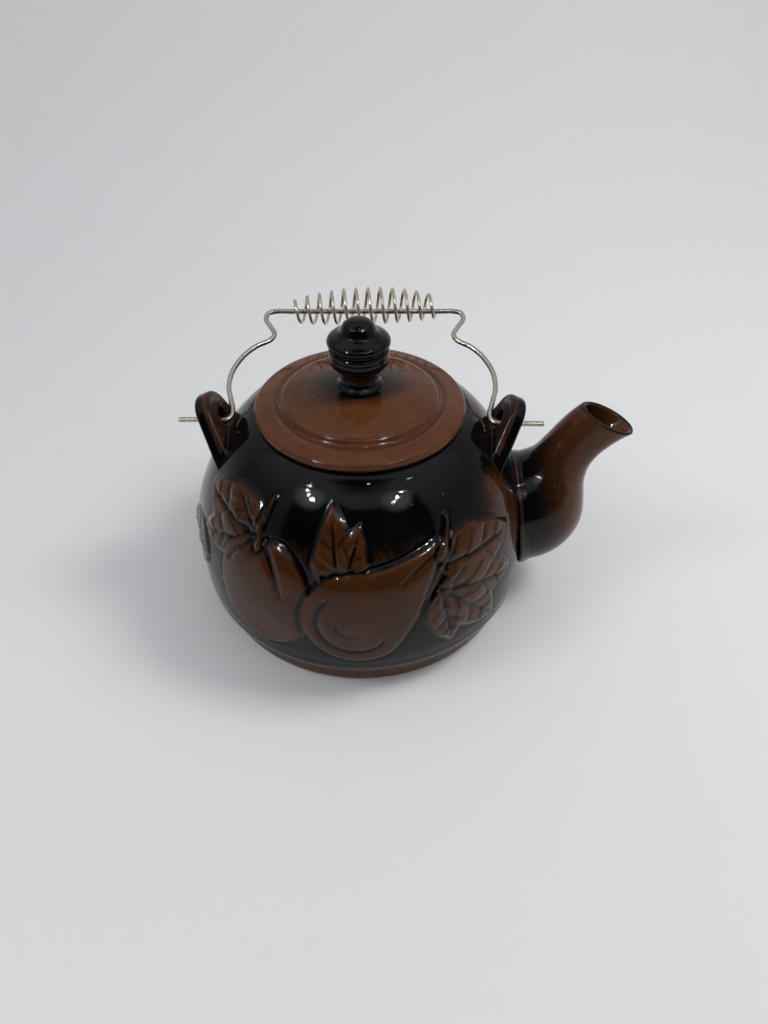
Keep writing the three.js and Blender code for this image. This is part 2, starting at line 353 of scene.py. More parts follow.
def glaze(name, mid=BROWN_MID, light=BROWN_LIGHT, mottle=0.36, blend=0.26):
    """Gloss stoneware glaze. It breaks from black to rust brown where brown is high, pools dark
    where groove is high, turns a lighter brown where edge is high (thinner glaze, and on the lid
    partly a painted highlight), and leaves bare clay."""
    n = Nodes(name)
    cloud = n.noise(70, 3)
    grain = n.noise(420, 3, roughness=0.65)
    fine = n.noise(1900, 2)
    runs = n.noise(1, 3, n.place((330, 330, 42)))
    spread = n.plus(n.times(n.plus(cloud, -0.5), mottle),
                    n.plus(n.times(n.plus(grain, -0.5), 0.9 * mottle),
                           n.times(n.plus(runs, -0.5), 0.4 * mottle)))
    share = n.remap(n.plus(n.value("brown"), spread), 0.5 - blend, 0.5 + blend)
    groove, edge, clay = n.value("groove"), n.value("edge"), n.value("clay")
    depth = n.remap(n.plus(n.times(cloud, 0.5), n.times(grain, 0.5)), 0.36, 0.62)
    brown = n.mix(depth, tuple(0.72 * c for c in mid), mid)
    brown = n.mix(n.times(n.remap(fine, 0.45, 0.7), 0.15), brown, BROWN_DEEP)
    # a lighter brown where edge is high: thinner glaze, and on the lid partly a painted highlight
    thin_glaze_and_highlight = n.times(n.remap(n.plus(edge, n.times(n.plus(grain, -0.5), 0.5)), 0.3, 0.9), 0.75)
    brown = n.mix(thin_glaze_and_highlight, brown, light)
    black = n.mix(n.remap(cloud, 0.4, 0.6), GLAZE_BLACK, GLAZE_NAVY)
    speckle = n.times(n.remap(grain, 0.60, 0.72), n.remap(cloud, 0.42, 0.6))
    black = n.mix(n.times(speckle, 0.35), black, BROWN_DEEP)
    colour = n.mix(share, black, brown)
    colour = n.mix(n.times(n.remap(groove, 0.1, 0.8), 0.93), colour, GLAZE_BLACK)
    dots = n.spots(170, 0.085, (0.3, 0.1, 0.2))
    colour = n.mix(n.times(dots, 0.3), colour, SPECK_BUFF)
    pits = n.spots(95, 0.06, (0.7, 0.4, 0.9))
    bare = n.mix(n.remap(grain, 0.35, 0.65), CLAY_DARK, CLAY_PALE)
    colour = n.mix(clay, colour, bare)
    rough = n.plus(n.remap(grain, 0.3, 0.75, 0.020, 0.045), n.times(dots, 0.2))
    rough = n.plus(rough, n.times(clay, 0.6))
    wave = n.bump(n.noise(85, 1), WAVE_RISE, 0.35)
    peel = n.bump(n.plus(fine, n.times(grain, 0.7)), PEEL_RISE, 0.18, wave)
    normal = n.bump(n.plus(dots, n.times(pits, -1.0)), DOT_RISE, 0.6, peel)
    return n.finish(Base_Color=colour, Roughness=rough, IOR=GLAZE_IOR, Normal=normal)


def drawn_wire(name, base, tarnish):
    """Plated steel wire: drawing lines along it, a warm tarnish in patches, and rust spots."""
    n = Nodes(name)
    cloud = n.noise(160, 4, roughness=0.6)
    lines = n.noise(1, 2, n.place((260, 3200, 3200)))
    patch = n.remap(cloud, 0.45, 0.72)
    colour = n.mix(n.times(patch, 0.75), base, tarnish)
    colour = n.mix(n.times(n.remap(lines, 0.5, 0.75), 0.35), colour, tuple(0.55 * c for c in base))
    rust = n.spots(260, 0.12, (0.2, 0.8, 0.5))
    colour = n.mix(n.times(rust, 0.7), colour, RUST)
    rough = n.plus(n.remap(cloud, 0.3, 0.7, 0.22, 0.36), n.times(rust, 0.3))
    normal = n.bump(n.plus(lines, n.times(cloud, 0.6)), WIRE_RISE, 0.4)
    return n.finish(Base_Color=colour, Roughness=rough, Metallic=1.0, Normal=normal)


def sheet_steel(name):
    """Satin stainless sheet with turning lines and water marks."""
    n = Nodes(name)
    lines = n.noise(1, 3, n.place((120, 120, 2600)))
    cloud = n.noise(90, 3)
    colour = n.mix(n.remap(cloud, 0.35, 0.7), (0.60, 0.61, 0.62), (0.47, 0.46, 0.44))
    colour = n.mix(n.times(n.remap(lines, 0.45, 0.7), 0.3), colour, (0.36, 0.36, 0.36))
    rough = n.remap(n.plus(n.times(lines, 0.6), n.times(cloud, 0.4)), 0.3, 0.7, 0.2, 0.38)
    return n.finish(Base_Color=colour, Roughness=rough, Metallic=1.0,
                    Normal=n.bump(lines, 0.00003, 0.6))


# ---- relief of fruit and leaves
class Relief:
    """Height in mm and glaze weights over a grid of arc lengths and heights in mm."""

    def __init__(self, across, up):
        self.s, self.z = across, up
        self.height = np.zeros_like(across)
        self.brown = np.zeros_like(across)
        self.groove = np.zeros_like(across)
        self.edge = np.zeros_like(across)

    def stamp(self, inside, height, dome=0.0, dome_reach=9.0, brown=1.0, ink=0.8):
        """Lays a shape over what is there. inside is the distance in from its outline."""
        cover = ramp(inside, -0.9, 1.5)
        moat = ink * bell(inside, -1.0, 1.1) * (inside < 0.9)
        top = height + dome * (1 - np.exp(-np.maximum(inside, 0) / dome_reach))
        self.height = self.height * (1 - cover) + top * cover - 0.35 * moat
        self.brown = np.maximum(self.brown * (1 - moat), brown * ramp(inside, -0.8, 2.2))
        self.groove = np.maximum(self.groove * (1 - cover), moat)
        self.edge = np.maximum(self.edge * (1 - cover), 0.5 * bell(inside, 1.6, 1.0))

    def score(self, points, width, depth, ink=1.0):
        """Cuts a tapering groove along a line of points."""
        inside = self.stroke(points, width)
        self.height -= depth * ramp(inside, -0.9 * width, 0.7 * width)
        self.groove = np.maximum(self.groove, ink * ramp(inside, -0.45 * width, 0.75 * width))

    def fold(self, line, width, depth):
        """Cuts a groove where line, the distance from its middle, is near zero."""
        self.height -= depth * bell(line, 0, width)
        self.groove = np.maximum(self.groove, bell(line, 0, 0.8 * width))

    def along(self, start, end):
        """Coordinates along and across the line from start to end, with its length."""
        a, b = np.array(start, float), np.array(end, float)
        length = np.linalg.norm(b - a)
        direction = (b - a) / length
        ds, dz = self.s - a[0], self.z - a[1]
        return (ds * direction[0] + dz * direction[1],
                dz * direction[0] - ds * direction[1], length)

    def stroke(self, points, width):
        """Distance in from the edge of a line of the given points, tapering to its end."""
        best = np.full_like(self.s, -99.0)
        count = len(points) - 1
        for i, (a, b) in enumerate(zip(points, points[1:])):
            t, d, length = self.along(a, b)
            share = np.clip(t / length, 0, 1)
            off = np.hypot(t - share * length, d)
            taper = width * (1 - 0.55 * (i + share) / count)
            best = np.maximum(best, taper - off)
        return best

    def leaf(self, base, lobes, height=1.0):
        """A broad leaf of pointed lobes that all start at its base, with inked veins."""
        inside = np.full_like(self.s, -99.0)
        for tip, half in lobes:
            t, d, length = self.along(base, tip)
            u = np.clip(t / length, 0.0, 1.0)
            scallop = 1 - 0.10 * np.abs(np.sin(2.5 * np.pi * u)) * ramp(u, 0.12, 0.4)
            width = half * np.sin(np.pi * u ** 0.72) ** 0.8 * scallop
            reach = np.where((t < 0) | (t > length), -np.hypot(t - u * length, d), width - abs(d))
            inside = np.maximum(inside, 0.8 * reach)
        self.stamp(inside, height, brown=0.9, ink=0.35)
        on = ramp(inside, 0.4, 2.4)
        for tip, half in lobes:
            t, d, length = self.along(base, tip)
            u = np.clip(t / length, 0.0, 1.0)
            mine = ramp(half - abs(d), 0, 3.5) * on * (t > 0)
            middle = bell(d, 0, 1.35 - 0.7 * u) * ramp(u, 0.95, 0.7) * mine
            branch = ((t - abs(d) * 0.8) / length * 2.4 + 0.3) % 1.0
            side = bell(branch, 0.5, 0.085) * ramp(abs(d), 0.4, 1.6) * (u > 0.12) * (u < 0.84)
            side = side * mine * ramp(half * 0.85 - abs(d), 0, 3)
            self.height += 0.45 * bell(branch, 0.0, 0.34) * mine - 0.7 * middle - 0.40 * side
            self.groove = np.maximum(self.groove, np.maximum(0.9 * middle, 0.6 * side))


def fruit_relief(across, up):
    """A round fruit, a pear on its side and pointed leaves, over arc lengths and heights in mm."""
    r = Relief(across, up)
    r.leaf((-46, 75), [((-94, 78), 13), ((-86, 60), 11), ((-70, 88), 8)], 1.0)
    r.leaf((-80, 44), [((-112, 50), 13)], 0.8)
    r.leaf((-6, 62), [((-12, 93), 11), ((3, 87), 9)], 1.0)
    r.leaf((38, 67), [((82, 66), 13)], 1.0)
    r.leaf((36, 58), [((79, 44), 13), ((66, 25), 13), ((42, 25), 10)], 1.1)

    # round fruit with a dimple, a calyx and creases running down from it
    ds, dz = r.s + 41.5, r.z - 51.0
    angle = np.arctan2(ds + 4, dz)
    size = 25.2 + 0.9 * np.cos(2 * angle) - 3.4 * bell(angle, 0, 0.3)
    r.stamp(size - np.hypot(ds, dz), 1.3, 1.5, 10)
    r.score([(-46.5, 74.5), (-51, 71.5), (-56, 67), (-59.5, 61)], 1.7, 0.8)
    r.score([(-44.5, 74.5), (-39, 70.5), (-34.5, 64), (-31.5, 55.5)], 2.1, 0.9)
    r.score([(-46, 73), (-47.5, 67), (-50, 62)], 1.1, 0.4, 0.5)
    r.stamp(r.stroke([(-45.5, 72.5), (-46.8, 80), (-44.4, 89)], 1.9), 1.9)

    # pear lying on its side, a fold round its fat end and creases at its neck
    fat, neck = (1.0, 47.5), (37.5, 72.5)
    t, d, length = r.along(fat, neck)
    u = np.clip(t / length, 0.0, 1.0)
    radius = np.interp(u, np.linspace(0, 1, 6), (23.6, 20.4, 15.8, 11.8, 8.4, 5.0))
    inside = 0.93 * (radius - np.hypot(t - u * length, d))
    r.stamp(inside, 1.4, 1.5, 10)
    turn = np.arctan2(d, -t)

    def crease(part, offset, bow, width, depth):
        """A bent groove at offset in from the fat end's outline, where part is above zero."""
        line = (inside - offset - bow * turn ** 2) / np.maximum(part, 0.1)
        r.fold(np.where(part > 0.02, line, 9.0), width, depth)

    crease(ramp(turn, -2.0, -1.5) * ramp(turn, 1.5, 1.1) * (inside > 1.5), 6.2, 0.5, 1.5, 1.0)
    lip = ramp(turn, -1.15, -0.5) * ramp(turn, 0.75, 0.2)
    raised = bell(inside, 10.6 + 1.4 * turn ** 2, 1.7) * lip
    r.height += 0.55 * raised
    crease(lip, 13.4, 1.4, 1.1, 0.35)
    r.score([(37.5, 71), (34, 64.5), (30, 57.5), (27.5, 50)], 1.5, 0.7)
    r.score([(35, 73), (27, 69.5), (20, 65)], 1.2, 0.35, 0.55)
    r.stamp(r.stroke([(38, 71.5), (42.5, 76.5), (46.5, 84)], 1.8), 2.0)
    return r


# ---- pot body
BELLY = ((74.4, 11), (78.2, 16), (79.8, 21.5), (80, 29), (79.6, 39), (78, 50), (75.2, 60),
         (71.4, 69), (66.6, 78), (60.2, 87.4), (54.4, 93.8), (49, 98.2))
OUTSIDE = np.vstack([[(70.8, 0), (72.5, 2.8), (73, 9.4)], catmull(BELLY, 60), [(45.4, 99.7)]])


def outside_radius(height):
    """Radius of the plain outside of the body at a height, both in mm."""
    return np.interp(height, OUTSIDE[:, 1], OUTSIDE[:, 0])


def body_profile():
    """The wall of the body from under the foot, up the outside, over the rim and down inside."""
    belly = catmull(BELLY, 88)
    foot = [(0, 1.2), (61.6, 1.2), (63.6, 0.0), (70.6, 0.0), (72, 1.1), (72.5, 2.8), (72.7, 6.4),
            (73.0, 9.2)]
    outside = np.vstack([rounded(foot, 1.0), belly])
    rim = rounded([(49, 98.2), (45.4, 99.7), (39, 99.7), (39, 90), (35, 90), (35, 87.2),
                   (40, 87.2), (46, 90.6), (51.4, 88)], 1.2)
    inside = catmull([(51.4, 88), (58.4, 80.6), (64.8, 71.4), (69.8, 61), (73, 50.4), (74.7, 39),
                      (75.1, 29), (74.2, 21), (70.6, 13.6), (65, 9), (50, 7)], 40)
    whole = np.vstack([outside, rim[1:], inside[1:], [(0, 6.6)]])
    line = np.vstack([whole[:1], whole[1:][np.linalg.norm(np.diff(whole, axis=0), axis=1) > 1e-6]])

    def pace(point):
        """Fine where the relief is, middling at the rim and foot, coarse inside."""
        radius, height = point
        if 12 < height < 97 and radius > outside_radius(height) - 1.5:
            return 0.76
        return 1.3 if height > 86 or (height < 12 and radius > 60) else 3.6

    return respaced(line, pace)


BODY_COLUMNS = 640


def by_lug(height, side):
    """Share of brown on the shoulder. side is the arc from the middle of the lug, in mm."""
    return 0.56 * bell(height, 89, 8) * bell(side, 0, 15)


def make_body(material):
    """The pot with its relief, but without the strainer holes."""
    points, angle, height, radius = turned_points(body_profile(), BODY_COLUMNS)
    outer = (radius > outside_radius(height) - 1.6) & (height > 9.0) & (height < 99.0)
    # the back repeats the front: the angle is folded over at the lugs
    folded = np.where(angle > math.pi / 2, math.pi - angle,
                      np.where(angle < -math.pi / 2, -math.pi - angle, angle))
    relief = fruit_relief(folded * RELIEF_ARC, height)
    # the wall is sunk a little where the relief stands, so that the relief stays in the CAD box
    window = ramp(math.radians(86) - abs(folded), 0, math.radians(16))
    carve = 1.7 * window * ramp(height, 12, 21) * ramp(height, 74, 40)
    inner_side = np.where(folded > 0, ramp(1.36 - folded, 0, 0.08), 1.0)
    shaped = np.minimum(radius - carve + relief.height * inner_side, BODY_WIDEST)
    radius = np.where(outer, shaped, radius)
    points[..., 0], points[..., 1] = radius * np.sin(angle), -radius * np.cos(angle)

    # brown where the glaze thins: the relief, the foot band, the shoulder by the lugs and spout
    side = np.abs(np.abs(angle) - math.pi / 2) * RELIEF_ARC
    brown = relief.brown * inner_side * (height > 10)
    halo = window * bell(height, 70, 12) * ramp(height, 92, 82) * (1 - relief.groove)
    brown = np.maximum(brown, 0.51 * halo * inner_side)
    by_spout = bell(folded, 1.12, 0.20) * ramp(height, 34, 54) * ramp(height, 96, 82) * (angle > 0)
    brown = np.maximum(brown, by_lug(height, side))
    brown = np.maximum(brown, 0.58 * by_spout)
    foot_band = ramp(height, 11.2, 9.6) * (radius > 66)
    lining = (~outer) & (height > 6.0) & (radius < outside_radius(height) - 1.6)
    brown = np.maximum(brown, foot_band * 0.95)
    brown = np.where(lining, 0.78, brown)
    clay = np.maximum(ramp(height, 1.4, 0.5) * (radius > 60), 0.07 * foot_band)
    mesh = grid_mesh("pot_body_glazed", points * MM, {
        "brown": brown, "groove": np.where(outer, relief.groove * inner_side, 0),
        "edge": np.where(outer, relief.edge * inner_side, 0), "clay": clay})
    return link(mesh, material)


def add_rod(work, centre, radius, length, segments):
    """A rod along X in a bmesh. The sizes are in mm."""
    where = Matrix.Translation(Vector(centre) * MM) @ Matrix.Rotation(math.pi / 2, 4, "Y")
    bmesh.ops.create_cone(work, cap_ends=True, segments=segments, radius1=radius * MM,
                          radius2=radius * MM, depth=length * MM, matrix=where)


def drill_strainer(body):
    """The seven holes through the body wall behind the spout."""
    cutters = bmesh.new()
    ring = [k * FULL_TURN / 6 for k in range(6)]
    places = [(0.0, 0.0)] + [(STRAINER_RING * math.cos(a), STRAINER_RING * math.sin(a))
                             for a in ring]
    for across, up in places:
        add_rod(cutters, (78, across, STRAINER_HEIGHT + up), STRAINER_HOLE / 2, 14, 20)
    drill = link(made(cutters, "strainer_drill"), None)
    cut = body.modifiers.new("strainer", "BOOLEAN")
    cut.operation, cut.object, cut.solver = "DIFFERENCE", drill, "MANIFOLD"
    apply_modifiers(body)
    bpy.data.objects.remove(drill)


# ---- spout
SPOUT_COLUMNS = 112
SPOUT_WALL = (4.6, 2.3)          # wall thickness at the root and at the tip
LIP_RISE = 0.7                   # how far the rounded lip stands past the walls
# rows of [upper x, upper z, lower x, lower z, half width], from inside the body to the tip
SPOUT = np.array([
    [57, 62, 60, 18, 25], [63, 66, 78, 17.6, 25.2], [67, 68.6, 90, 20.6, 25],
    [70, 70.4, 99, 27.5, 24], [72.8, 71.8, 104.5, 37, 22], [75.2, 73, 106, 46, 19.8],
    [77.4, 74.6, 105, 55.5, 17.2], [79.4, 77, 103.9, 63, 14.8], [81.6, 80.6, 104.3, 69.8, 13],
    [84.4, 85.2, 106, 75.4, 11.8], [87.6, 90.6, 109.3, 80.4, 10.9], [91.2, 96, 114, 85, 10.2],
    [94.4, 99.8, 118.4, 88.4, 9.8], [97, 102.2, 121.6, 90.6, 9.7]])


def spout_ring(row, turn, inset=0.0):
    """An oval between an upper and a lower point, with a half width across."""
    upper, lower, half = row[:2], row[2:4], row[4]
    middle, arm = (upper + lower) / 2, (upper - lower) / 2
    arm = arm * (1 - inset / np.linalg.norm(arm))
    flat = middle + np.cos(turn)[:, None] * arm
    return np.stack([flat[:, 0], np.sin(turn) * (half - inset), flat[:, 1]], axis=1)


def make_spout(material):
    """One closed skin: up the outside, round the lip and down the bore."""
    turn = np.arange(SPOUT_COLUMNS) / SPOUT_COLUMNS * FULL_TURN
    rows = catmull(SPOUT, 180)
    wall = np.linspace(*SPOUT_WALL, len(rows))
    outer = np.array([spout_ring(row, turn) for row in rows])
    inner = np.array([spout_ring(row, turn, w) for row, w in zip(rows, wall)])

    def from_body(grid, sink, count, bias):
        """Each line of the grid starts where it comes out of the body and ends at the tip."""
        out = np.zeros((count, SPOUT_COLUMNS, 3))
        share = np.linspace(0, 1, count) ** bias
        for j in range(SPOUT_COLUMNS):
            line = grid[:, j]
            clear = np.hypot(line[:, 0], line[:, 1]) - (outside_radius(line[:, 2]) - sink)
            start = np.max(np.nonzero(clear < 0)[0]) if (clear < 0).any() else 0
            if start + 1 < len(line):
                a, b = clear[start], clear[start + 1]
                start = start + (0 - a) / max(b - a, 1e-6)
            at = start + (len(line) - 1 - start) * share
            for k in range(3):
                out[:, j, k] = np.interp(at, np.arange(len(line)), line[:, k])
        return out

    skin = from_body(outer, 1.2, 120, 1.25)
    bore = from_body(inner, 2.6, 60, 1.0)[::-1]
    # the clay spreads a little along the seam, where the spout meets the body
    centre = skin.mean(axis=1, keepdims=True)
    away = skin - centre
    away /= np.linalg.norm(away, axis=2, keepdims=True)
    travel = np.concatenate([np.zeros((1, SPOUT_COLUMNS)), np.cumsum(
        np.linalg.norm(np.diff(skin, axis=0), axis=2), axis=0)])
    flare = 1.5 * ramp(travel, 5.2, 0.6) ** 1.6 + 0.35 * bell(travel, 3.4, 0.9)
    skin = skin + away * flare[..., None]
    # a soft lip: the outer and inner walls meet in a half round
    tip_out, tip_in = skin[-1], bore[0]
    along = skin[-1].mean(axis=0) - skin[-4].mean(axis=0)
    along /= np.linalg.norm(along)
    lip = []
    for share in np.linspace(0, 1, 9)[1:-1]:
        middle = (1 - share) * tip_out + share * tip_in
        lip.append(middle + along * LIP_RISE * (math.sin(math.pi * share) - 1))
    trim = 14
    skin[-trim:] -= along * LIP_RISE * ramp(np.arange(trim), 0, trim - 1)[:, None, None]
    bore[:6] -= along * LIP_RISE * ramp(np.arange(6), 5, 0)[:, None, None]
    points = np.concatenate([skin, np.array(lip), bore])
    x, z = points[..., 0], points[..., 2]
    front = ramp(-points[..., 1], -8, 14)
    tone = x - 0.22 * (60 - z) - 3.5 * front
    brown = ramp(tone, 68, 106) * 1.05
    brown = np.maximum(brown, ramp(z, 66, 98) * 0.9)
    seam = np.zeros_like(x)
    seam[: len(skin)] = bell(travel, 1.8, 1.1)
    brown = np.maximum(brown, 0.55 * seam)
    brown[len(skin) + 7:] = 0.85
    dark = np.zeros_like(x)
    dark[len(skin) - 1: len(skin) + 7] = 0.75
    edge = np.zeros_like(x)
    edge[: len(skin)] = 0.2 * bell(travel, 1.6, 0.8)
    mesh = grid_mesh("spout_glazed", points * MM, {
        "brown": brown, "groove": dark, "edge": edge}, along=True)
    return link(mesh, material)


# ---- bail lugs
def lug_outline():
    """The ear's outline as [across, up]: two feet, and a round top that both sides run onto."""
    def touch(foot):
        x, y = foot
        return math.atan2(y, x) % FULL_TURN + math.acos(LUG_RADIUS / math.hypot(x, y))

    front, back = LUG_FOOT
    start = touch(back) - FULL_TURN
    end = math.pi - (touch((-front[0], front[1])) - FULL_TURN)
    arc = [(LUG_RADIUS * math.cos(a), LUG_RADIUS * math.sin(a))
           for a in np.linspace(start, end, 40)]
    return [front, back] + arc


def make_lug(side, material):
    """A pierced ear with rounded edges that swells into the shoulder of the pot."""
    name = "lug_right_glazed" if side > 0 else "lug_left_glazed"
    up = Vector((math.sin(LUG_LEAN), 0, math.cos(LUG_LEAN)))
    across = Vector((0, 1, 0))
    out = across.cross(up)
    work = bmesh.new()
    layers = ((-0.46, -1.9), (-0.43, -1.0), (-0.36, -0.3), (-0.26, 0.0), (0.26, 0.0),
              (0.38, -0.12), (0.46, -0.55), (0.5, -1.2))
    outline = np.array(lug_outline())
    tangent = np.roll(outline, -1, axis=0) - np.roll(outline, 1, axis=0)
    tangent /= np.linalg.norm(tangent, axis=1)[:, None]
    outwards = np.stack([tangent[:, 1], -tangent[:, 0]], axis=1)
    rings = []
    for share, inset in layers:
        ring = []
        for (u, v), (nu, nv) in zip(outline, outwards):
            point = (Vector(LUG_CENTRE) + across * float(u + nu * inset)
                     + up * float(v + nv * inset) + out * (share * LUG_THICKNESS))
            ring.append(work.verts.new(point * MM))
        rings.append(ring)
    skin_rings(work, rings)
    ear = link(made(work, name), material)

    # a thin slab of the shoulder under it, so that the two melt together
    angle, height = np.meshgrid(np.linspace(-0.46, 0.34, 60), np.linspace(71, 97.5, 50))
    border = np.maximum(abs((angle + 0.06) / 0.40), abs((height - 84.5) / 13.0)) ** 4

    def sheet(depth):
        radius = outside_radius(height) - depth * 1.15
        return np.stack([radius * np.cos(angle), radius * np.sin(angle), height - 0.4 * depth],
                        axis=-1)

    loop = np.concatenate([sheet(0.12 + 0.9 * border), sheet(2.6)[::-1]])
    patch_mesh = grid_mesh("patch", loop * MM, around=False, along=True)
    tidy(patch_mesh, close=True)
    patch = link(patch_mesh, None)
    drill = bmesh.new()
    add_rod(drill, LUG_CENTRE, LUG_HOLE / 2, 30, 40)
    bore = link(made(drill, "bore"), None)
    for operation, other in (("DIFFERENCE", bore), ("UNION", patch)):
        change = ear.modifiers.new(operation, "BOOLEAN")
        change.operation, change.object, change.solver = operation, other, "MANIFOLD"
    melt = ear.modifiers.new("melt", "REMESH")
    melt.mode, melt.voxel_size = "VOXEL", LUG_VOXEL * MM
    relax = ear.modifiers.new("relax", "SMOOTH")
    relax.factor, relax.iterations = 0.6, 7
    apply_modifiers(ear)
    for other in (bore, patch):
        bpy.data.objects.remove(other)
    co = np.zeros(len(ear.data.vertices) * 3)
    ear.data.vertices.foreach_get("co", co)
    co = co.reshape(-1, 3) / MM
    local = co - LUG_CENTRE
    v = local @ np.array(up)
    w = local @ np.array(out)
    reach = np.hypot(local[:, 1], v)
    rim_out = ramp(w, -1.9, -0.4)
    ear_part = ramp(np.hypot(co[:, 0], co[:, 1]) - outside_radius(co[:, 2]), 0.5, 4)
    shoulder = by_lug(co[:, 2], np.arctan2(co[:, 1], co[:, 0]) * RELIEF_ARC)
    brown = (1 - rim_out) * ear_part * 0.46 + (1 - ear_part) * shoulder
    brown = brown + 0.2 * ramp(w, 3.4, 3.8) * ear_part
    brown = np.maximum(brown, 0.62 * bell(w, -1.6, 1.5) * ear_part * ramp(reach, 7, 10))
    edge = 0.1 * bell(w, -2.0, 1.2) * ear_part * ramp(reach, 7, 10)
    groove = 0.75 * (reach < 4.4) * ear_part
    set_values(ear.data, {"brown": brown, "edge": edge, "groove": groove})
    if side < 0:
        ear.data.transform(Matrix.Scale(-1, 4, Vector((1, 0, 0))))
        ear.data.flip_normals()
    ear.data.polygons.foreach_set("use_smooth", [True] * len(ear.data.polygons))
    return ear


# ---- lid and knob
def make_lid(material):
    """The turned lid, with the locating ring under it."""
    ring_low = 92.4
    line = rounded([
        (0, 109), (14, 108.2), (29, 104.6), (34, 102.4), (34, ring_low), (36.8, ring_low),
        (37.6, 93.2), (37.6, 100), (45.2, 100), (46, 100.9), (46, 102.8), (45.4, 103.8),
        (44.2, 104.2), (38.2, 105.3), (36.4, 104.7), (34.9, 105.7), (34.0, 107.3), (32.6, 108.2),
        (26, 109.6), (18, 111.5), (13.2, 112.5), (10.4, 113.0), (0, 113)], 1.0, 6)
    profile = respaced(line, lambda p: 0.55 if p[1] > 99.5 and p[0] > 9 else 1.6)
    points, angle, height, radius = turned_points(profile, 320)
    top = height > 100.5
    wobble = 2.2 * np.sin(angle * 2 + 0.6) + 1.4 * np.sin(angle * 5 + 2.0)
    front = ramp(np.cos(angle), -0.2, 0.9)
    cloud = ramp(radius + 0.6 * wobble, 33 - 11 * front, 10.0)
    brown = np.where(top, 1.0 - 0.74 * cloud, 0.9)
    brown = np.where(top & (radius < 13.2), np.minimum(brown, ramp(radius, 11.4, 13.6)), brown)
    step = bell(radius, 36.3, 1.0) * top
    rim = bell(radius, 45.7, 0.9) * (height > 100)
    crest = bell(radius, 33.6, 1.0) * top
    # edge lightens the glaze on the rim and on the crest of the step: thinner glaze, and partly a
    # painted highlight
    mesh = grid_mesh("lid_glazed", points * MM, {
        "brown": brown, "groove": 0.5 * step, "edge": 0.35 * crest + 0.35 * rim,
        "clay": ((radius > 37.9) & (radius < 44.5) & (height < 100.4)).astype(float)})
    return link(mesh, material)


def make_knob(material):
    line = rounded([
        (0, 113), (10.5, 113.0), (9.0, 114.0), (7.9, 115.6), (7.6, 117.4), (8.4, 118.9),
        (10.2, 121.2), (12.0, 123.3), (12.6, 124.4), (12.7, 126.9), (12.4, 127.2), (12.7, 127.5),
        (12.7, 129.6), (11.5, 130.1), (11.2, 130.6), (11.6, 131.1), (12.8, 131.6), (13.3, 132.5),
        (13.3, 133.6), (12.5, 134.8), (10.8, 135.8), (8.8, 136.6), (7.7, 137.7), (7.2, 139),
        (6.2, 140.9), (4.2, 142.3), (2, 142.9), (0, 143)], 0.9, 5)
    points, _, height, radius = turned_points(respaced(line, 0.4), 160)
    neck = ramp(height, 116.0, 117.4) * ramp(height, 122.6, 120.8)
    thin_line = bell(height, 123.9, 0.6)
    brown = np.maximum(neck * 0.72, thin_line * 0.5) * (radius > 3)
    mesh = grid_mesh("lid_knob_glazed", points * MM, {
        "brown": brown, "edge": 0.15 * thin_line})
    return link(mesh, material)


# ---- bail and grip spring
def on_bail(sideways, outwards, lift=0.0):
    """A point of the bail plane: sideways, outwards from the hinge axis, lifted off it."""
    reach = outwards * (1 + BAIL_SKEW * sideways)
    return np.array([sideways,
                     reach * math.sin(BAIL_LEAN) - lift * math.cos(BAIL_LEAN),
                     HINGE_HEIGHT + reach * math.cos(BAIL_LEAN) + lift * math.sin(BAIL_LEAN)])


def make_bail(material):
    side = [(81.0, 0), (75, 0), (68, 0), (62, 0), (59.4, 0.5), (57.7, 2.6), (57.7, 6),
            (58.9, 10.5), (60.8, 19), (60, 27.4), (55.9, 36.1), (50.4, 42), (44.2, 45.8),
            (42.4, 49), (44.4, 53.4), (47.2, 58.6), (46.2, 62.2), (42.5, BAIL_REACH),
            (36, BAIL_REACH), (24, BAIL_REACH), (12, BAIL_REACH)]
    whole = side + [(0, BAIL_REACH)] + [(-u, v) for u, v in reversed(side)]
    path = catmull([on_bail(u, v) for u, v in whole], 520, centripetal=True)
    return link(tube_mesh("bail_wire_drawn", path * MM, WIRE_DIAMETER * MM, 20), material)


def make_spring(material):
    """The open spring round the grip bar, wide in the middle and a little off the bar."""
    path = []
    for t in np.linspace(0.001, 0.999, 560):
        swell = 4 * t * (1 - t)
        radius = SPRING_END_RADIUS + (SPRING_MID_RADIUS - SPRING_END_RADIUS) * swell ** 0.8
        angle = FULL_TURN * (SPRING_TURNS * t + SPRING_START)
        forward, high = radius * math.sin(angle), radius * math.cos(angle)
        bow = SPRING_BOW * swell + SPRING_OFFSET * t
        path.append(on_bail(
            (t - 0.5) * SPRING_LENGTH,
            BAIL_REACH + bow + high * math.cos(BAIL_LEAN) - forward * math.sin(BAIL_LEAN),
            high * math.sin(BAIL_LEAN) + forward * math.cos(BAIL_LEAN)))
    mesh = tube_mesh("grip_coil_drawn", np.array(path) * MM, SPRING_DIAMETER * MM, 14)
    return link(mesh, material)


